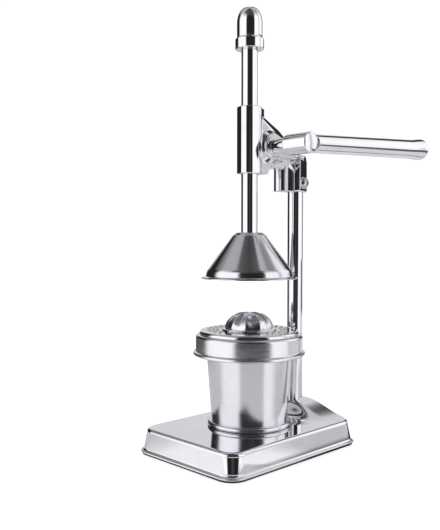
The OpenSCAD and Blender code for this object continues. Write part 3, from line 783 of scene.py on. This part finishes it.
def collar_profile():
    """The collar's sheet: spout, ledge, inner wall, rounded shoulder, side and rolled hem."""
    low, top = COLLAR_LOW[2], COLLAR_HIGH[2]
    ledge, sheet = 113.35, 1.5
    return rounded([
        (43.6, ledge - 7.0, 0.4), (44.8, ledge - 7.0, 0.4), (44.8, ledge, 0.8), (51.0, ledge, 1.5),
        (51.0, top - sheet, 0.8), (57.1, top - sheet, 2.4), (57.1, low + 3.6, 0.6),
        (57.5, low + 1.2, 0.7), (58.8, low, 1.0), (61.2, low, 1.3), (61.2, low + 3.2, 1.4),
        (58.6, low + 4.6, 0.8), (58.6, top, 3.6), (49.5, top, 1.0), (49.5, ledge + sheet, 1.0),
        (43.6, ledge + sheet, 0.8),
    ], 7)


add_piece("collar_ring", *lathe(collar_profile(), 224), BRUSHED, "collar", ["bowl_collar"],
          "brushed_steel")


def strainer_shape():
    """A flat tray with three staggered rings of drilled holes and a turned-down edge."""
    top = TRAY_HIGH[2]
    sheet, holes, hole_r, bevel = 1.3, 28, 1.5, 0.25
    under = top - sheet
    rings = [35.5, 40.0, 44.5]
    half = 2.25
    verts, normals, faces = [], [], []

    def vert(r, a, z, n):
        verts.append([r * math.cos(a), r * math.sin(a), z])
        normals.append(n)
        return len(verts) - 1

    pitch = TURN / holes
    for row, ring in enumerate(rings):
        for i in range(holes):
            middle = (i + (0.5 if row == 1 else 0)) * pitch
            cx, cy = ring * math.cos(middle), ring * math.sin(middle)
            edge = []
            for side, turn in ((-1, -0.5), (1, 0.5)):
                for k in range(4):
                    edge.append((ring + side * half, middle + (turn - side * k / 4) * pitch))
                for k in range(4):
                    edge.append((ring + side * half * (1 - k / 2), middle - turn * pitch))
            count = len(edge)
            loops = [[vert(r, a, top, [0, 0, 1]) for r, a in edge]]
            start = math.atan2(verts[loops[0][0]][1] - cy, verts[loops[0][0]][0] - cx)
            rays = [start + TURN * k / count for k in range(count)]
            for radius, z, up in ((hole_r + bevel, top, 0.9), (hole_r, top - bevel, 0.2),
                                  (hole_r, under + bevel, -0.2), (hole_r + bevel, under, -0.9)):
                loop = []
                for ray in rays:
                    c, s = math.cos(ray), math.sin(ray)
                    verts.append([cx + radius * c, cy + radius * s, z])
                    normals.append(unit([-c * (1 - abs(up)), -s * (1 - abs(up)), up]))
                    loop.append(len(verts) - 1)
                loops.append(loop)
            loops.append([vert(r, a, under, [0, 0, -1]) for r, a in edge])
            for a, b in zip(loops, loops[1:]):
                for k in range(count):
                    n = (k + 1) % count
                    faces.append([b[k], b[n], a[n], a[k]])
    inner, outer = rings[0] - half, rings[-1] + half
    edge_r, edge_low, corner, skirt = TRAY_HIGH[0], 126.55, 3.0, 49.0
    rim = rounded([
        (outer, under, 0), (skirt - sheet, under, 0.3), (skirt - sheet, TRAY_LOW[2], 0.4),
        (skirt, TRAY_LOW[2], 0.4), (skirt, under, 0.5), (edge_r - sheet, under, corner - sheet),
        (edge_r - sheet, edge_low, 0.3), (edge_r, edge_low, 0.4), (edge_r, top, corner),
        (skirt + 1.6, top, 1.0), (skirt + 0.2, top - 0.35, 1.0), (skirt - 1.0, top, 1.0),
        (outer, top, 0),
    ], 6, closed=False)
    hub = rounded([
        (inner, top, 0), (6.0, top, 0.5), (6.0, under, 0.3), (inner, under, 0),
    ], 5, closed=False)
    shapes = [(np.array(verts), faces, np.array(normals))]
    per = holes * 4
    for profile in (rim, hub):
        v, f, n = lathe(profile, per)
        ends = {0, len(profile[0]) - 1}
        keep = [face for face in f if {i // per for i in face} != ends]
        shapes.append((v, keep, n))
    v, f, n = join(*shapes)
    flat_up = (np.abs(v[:, 2] - top) < 1e-6) & (np.hypot(v[:, 0], v[:, 1]) < outer + 1e-6)
    n[flat_up] = [0, 0, 1]
    return v, f, n


add_piece("strainer_tray", *strainer_shape(), POLISHED_TURNED, "strainer", ["strainer"],
          "polished_steel")


# ---------------------------------------------------------------- reamer

def reamer_shape():
    """A fluted dome on a thin flange, hollow below, with a peg into the strainer's middle."""
    low = TRAY_HIGH[2] + 0.05
    reach, tall, ribs = REAMER_HIGH[0], REAMER_HIGH[2] - low, 10
    around, rows = 320, 46
    peg_low = REAMER_LOW[2]
    theta = np.arange(around) * TURN / around
    crest = (1 - np.abs(np.sin(ribs * theta / 2 + math.pi / 2))) ** 0.8
    crest = np.convolve(np.concatenate([crest[-3:], crest, crest[:3]]), np.ones(7) / 7, "valid")

    def dome(t):
        """Radius and height of the valley line, from the flange (0) to the tip (1)."""
        a = t * math.pi / 2
        return 25.5 * math.cos(a) ** 0.9, 1.7 + (tall - 4.1) * math.sin(a) ** 1.15

    verts = []
    for radius, z in ((reach - 0.5, low), (reach, low + 0.45), (reach - 0.1, low + 1.2),
                      (reach - 0.8, low + 1.6), (26.6, low + 1.65)):
        verts += [[radius * math.cos(a), radius * math.sin(a), z] for a in theta]
    for k in range(rows):
        t = k / rows
        radius, z = dome(t)
        swell = 2.3 * math.sin(math.pi * min(1.0, 0.1 + t * 0.9)) ** 0.6
        out = unit([math.cos(t * 1.2), math.sin(t * 1.2) + 0.15])
        for a, c in zip(theta, crest):
            r = max(radius + swell * c * out[0], 0.4)
            h = min(z + swell * c * out[1], tall - 0.02)
            verts.append([r * math.cos(a), r * math.sin(a), low + h])
    tip = len(verts)
    verts.append([0, 0, low + tall - 2.2])
    below = len(verts)
    for radius, z in ((24.0, low), (23.0, low + 0.4), (7.0, low + 12.0), (5.7, low + 12.0),
                      (5.7, peg_low + 0.6), (5.2, peg_low)):
        verts += [[radius * math.cos(a), radius * math.sin(a), z] for a in theta]
    base_pole = len(verts)
    verts.append([0, 0, peg_low])
    faces = []

    def strip(a, b):
        for k in range(around):
            n = (k + 1) % around
            faces.append([a + k, a + n, b + n, b + k])

    for k in range(4 + rows):
        strip(k * around, (k + 1) * around)
    last = (4 + rows) * around
    for k in range(around):
        faces.append([last + k, last + (k + 1) % around, tip])
    strip(below, 0)
    for k in range(5):
        strip(below + (k + 1) * around, below + k * around)
    for k in range(around):
        faces.append([below + 5 * around + (k + 1) % around, below + 5 * around + k, base_pole])
    return np.array(verts), faces, None


add_piece("fluted_reamer", *reamer_shape(), BRUSHED, "reamer", ["reamer"], "brushed_steel")


# ---------------------------------------------------------------- stage, light and camera

CAMERA_AT = Vector((0.53736, -0.56412, 0.23415))
LOOK_YAW = math.radians(45.96)
LOOK_DOWN = 0.042

# The studio's greys as (degrees, grey) round the press. Zero points to the camera and the
# angle rises towards the picture's right. Light from about table height comes first, then
# from the soft boxes' upper parts and from above.
LEVEL_LIGHT = [
    (-180, 0.62), (-160, 0.62), (-154, 0.02), (-106, 0.02), (-98, 0.8), (-92, 1.25),
    (-34, 1.25), (-26, 0.015), (-6, 0.02), (6, 0.07), (18, 0.02), (42, 0.015), (48, 1.25),
    (84, 1.2), (90, 0.66), (95, 0.66), (98, 1.1), (112, 1.1), (118, 0.6), (126, 0.6),
    (131, 0.02), (155, 0.02), (162, 0.62), (180, 0.62),
]
RAISED_LIGHT = [
    (-180, 0.75), (-158, 0.75), (-150, 0.02), (-106, 0.02), (-98, 0.8), (-92, 1.25),
    (-34, 1.25), (-26, 0.02), (42, 0.02), (48, 1.25), (84, 1.2), (90, 0.7), (95, 0.7),
    (99, 1.2), (134, 1.15), (141, 0.03), (158, 0.03), (164, 0.72), (180, 0.75),
]
OVERHEAD_LIGHT = [
    (-180, 0.65), (-160, 0.6), (-153, 0.04), (-142, 0.04), (-136, 0.5), (-66, 0.5),
    (-54, 0.12), (0, 0.07), (50, 0.1), (58, 0.6), (74, 0.55), (84, 0.3), (104, 0.34),
    (112, 0.9), (132, 0.95), (139, 0.04), (157, 0.04), (164, 0.6), (180, 0.65),
]

# How steeply a direction rises, from 0 for level to 1 for straight up, where one row of
# greys gives way to the next.
LEVEL_TO_RAISED = (0.08, 0.2)
RAISED_TO_OVERHEAD = (0.5, 0.75)

# Painted light: the greys the floor glows with for every ray except the camera's, which the
# metal reflects as lit and dark patches, near the press, further out and far away, and the
# distances from the press, in metres, where one gives way to the next.
NEAR_FLOOR = [
    (-180, 0.62), (-84, 0.62), (-70, 1.0), (-27, 1.05), (-21, 0.62), (36, 0.62), (41, 1.05),
    (60, 1.0), (76, 0.62), (98, 0.62), (110, 0.76), (180, 0.76),
]
FAR_FLOOR = [
    (-180, 0.6), (-154, 0.1), (-106, 0.1), (-98, 0.8), (-92, 1.2), (-34, 1.2), (-26, 0.03),
    (42, 0.03), (48, 1.2), (84, 1.1), (90, 0.6), (98, 0.76), (180, 0.76),
]
FLOOR_EDGE = [
    (-180, 0.6), (-154, 0.1), (-106, 0.1), (-98, 0.8), (-92, 1.2), (-34, 1.2), (-26, 0.03),
    (42, 0.03), (48, 1.2), (84, 1.1), (90, 0.6), (95, 0.6), (98, 0.12), (126, 0.12),
    (131, 0.6), (180, 0.6),
]
NEAR_TO_FAR = (0.42, 0.62)
FAR_TO_EDGE = (1.3, 1.5)

# A painted shadow in the floor's glow along the base's long side, in metres, seen by every
# ray except the camera's. It comes up over the first pair of x and ends over the second, and
# it comes up over the pair of y.
SHADE_NEAR_X, SHADE_FAR_X, SHADE_Y = (0.05, 0.06), (0.09, 0.115), (-0.04, 0.02)


def grey(level):
    """A plain grey, with full alpha."""
    return level, level, level, 1


def grey_ramp(n, value, stops):
    """A colour ramp over a full turn, from (degrees, grey) stops, a little cool."""
    cool = 1.02
    ramp = n.add("ValToRGB", {0: value})
    elements = ramp.color_ramp.elements
    for degrees, _ in stops[1:-1]:
        elements.new((degrees + 180) / 360)
    for element, (degrees, level) in zip(elements, stops):
        element.position = (degrees + 180) / 360
        element.color = (level, level, level * cool, 1)
    return ramp.outputs[0]


def facing_turn(n, x, y):
    """The turn from the camera's side of the press to (x, y), with 0.5 towards the camera."""
    facing = math.atan2(CAMERA_AT.y, CAMERA_AT.x)
    c, s = math.cos(facing), math.sin(facing)
    ahead = n.math("ADD", n.math("MULTIPLY", x, c), n.math("MULTIPLY", y, s))
    side = n.math("SUBTRACT", n.math("MULTIPLY", y, c), n.math("MULTIPLY", x, s))
    return n.math("ADD", n.math("DIVIDE", n.math("ARCTAN2", side, ahead), TURN), 0.5)


def paper_floor():
    """A pale sweep of paper, far wider than the press.

    Camera rays see it plain. All other rays, such as reflections, see painted light: the
    floor glows with painted patches of light where the soft boxes would light it, and with a
    painted shadow along the base's long side.
    """
    sweep_r, paper_t = 6000, 4
    profile = rounded([(0, -paper_t, 0), (sweep_r, -paper_t, 2), (sweep_r, 0, 2), (0, 0, 0)], 4)
    verts, faces, _ = lathe(profile, 96)
    mesh = bpy.data.meshes.new("paper_floor")
    mesh.from_pydata((verts * MM).tolist(), [], faces)
    mesh.shade_smooth()
    material = bpy.data.materials.new("white_paper")
    material.use_nodes = True
    n = Nodes(material.node_tree)
    shader = material.node_tree.nodes["Principled BSDF"]
    position = n.add("TexCoord").outputs["Object"]
    x, y, _ = n.add("SeparateXYZ", {0: position}).outputs
    reach = n.math("SQRT", n.math("ADD", n.math("MULTIPLY", x, x), n.math("MULTIPLY", y, y)))
    turn = facing_turn(n, x, y)
    # Painted light: the floor's glow in lit and dark patches, by direction and distance from the press.
    patches = n.mix(n.spread(reach, *NEAR_TO_FAR),
                    grey_ramp(n, turn, NEAR_FLOOR), grey_ramp(n, turn, FAR_FLOOR))
    patches = n.mix(n.spread(reach, *FAR_TO_EDGE), patches, grey_ramp(n, turn, FLOOR_EDGE))
    # Painted shadow: a dark strip in the floor's glow along the base's long side.
    beyond = n.math("MAXIMUM", n.spread(x, *SHADE_FAR_X), n.spread(x, *SHADE_NEAR_X, 1.0, 0.0))
    lit = n.math("MAXIMUM", beyond, n.spread(y, *SHADE_Y, 1.0, 0.0))
    patches = n.mix(lit, grey(0.06), patches)
    speck = n.add("TexNoise", {"Vector": position, "Scale": 60.0, "Detail": 3.0}).outputs["Fac"]
    seen = n.add("LightPath").outputs["Is Camera Ray"]
    # Rays other than the camera's see the paper nearly black and lit only by its painted glow; the camera sees it
    # pale with an even glow.
    tint = n.mix(seen, grey(0.02), n.mix(speck, grey(0.86), grey(0.9)))
    glow = n.mix(seen, patches, grey(0.7))
    links = material.node_tree.links
    links.new(tint, shader.inputs["Base Color"])
    links.new(glow, shader.inputs["Emission Color"])
    links.new(n.math("MULTIPLY", seen, 0.5), shader.inputs["Specular IOR Level"])
    shader.inputs["Emission Strength"].default_value = 1.0
    shader.inputs["Roughness"].default_value = 0.25
    mesh.materials.append(material)
    floor = bpy.data.objects.new("paper_floor", mesh)
    bpy.context.scene.collection.objects.link(floor)


def studio_world():
    """Soft boxes to the left and right, and dark cloth between them.

    Camera rays see a plain white backdrop. All other rays see the soft boxes and the cloth.
    """
    world = bpy.data.worlds.new("studio")
    bpy.context.scene.world = world
    world.use_nodes = True
    tree = world.node_tree
    tree.nodes.clear()
    n = Nodes(tree)
    x, y, z = n.add("SeparateXYZ", {0: n.add("TexCoord").outputs["Generated"]}).outputs
    turn = facing_turn(n, x, y)
    walls = n.mix(n.spread(z, *LEVEL_TO_RAISED),
                  grey_ramp(n, turn, LEVEL_LIGHT), grey_ramp(n, turn, RAISED_LIGHT))
    sky = n.mix(n.spread(z, *RAISED_TO_OVERHEAD), walls, grey_ramp(n, turn, OVERHEAD_LIGHT))
    seen = n.add("LightPath").outputs["Is Camera Ray"]
    light = n.add("Background", {"Color": n.mix(seen, sky, grey(1.05)), "Strength": 1.0})
    out = n.add("OutputWorld")
    tree.links.new(light.outputs[0], out.inputs[0])


def studio_camera():
    """The main view's camera, without depth of field or shift."""
    data = bpy.data.cameras.new("camera")
    data.sensor_width = 36.0
    data.lens = 48.42
    data.clip_end = 20
    camera = bpy.data.objects.new("camera", data)
    camera.location = CAMERA_AT
    camera.rotation_euler = (math.pi / 2 - LOOK_DOWN, 0, LOOK_YAW)
    bpy.context.scene.collection.objects.link(camera)
    bpy.context.scene.camera = camera


paper_floor()
studio_world()
studio_camera()
bpy.context.scene.view_settings.view_transform = "Standard"
